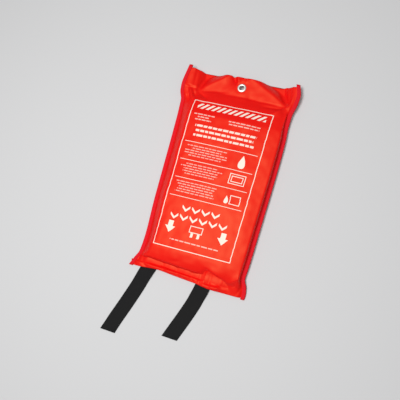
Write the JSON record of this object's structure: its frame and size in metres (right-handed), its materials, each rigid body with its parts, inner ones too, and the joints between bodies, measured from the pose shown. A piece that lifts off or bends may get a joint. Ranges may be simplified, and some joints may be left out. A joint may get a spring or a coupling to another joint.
{
  "type": "folded fire blanket in its hanging pouch",
  "caption": "Folded fire blanket packed in a soft red hanging pouch, with an eyelet in its header and pull tapes hanging from its mouth.",
  "frame": {"origin": "middle of the pouch's flat back, which lies on the surface", "axes": "+X to the pouch's right seen from the front, +Y up the pouch to its hanging eyelet, +Z out of the printed face"},
  "size_m": [0.2197, 0.4697, 0.0286],
  "materials": {
    "coated_cloth": "smooth coated woven cloth, soft sheen, white print",
    "edge_binding": "folded woven edge tape",
    "webbing": "ribbed woven polyester tape, matt",
    "nickel": "nickel plated, satin"
  },
  "bodies": {
    "root": {"pouch": "coated_cloth", "header": "coated_cloth", "binding_left": "edge_binding", "binding_right": "edge_binding", "eyelet": "nickel", "eyelet_washer": "nickel", "tape_left": "webbing", "tape_right": "webbing"}
  },
  "joints": []
}
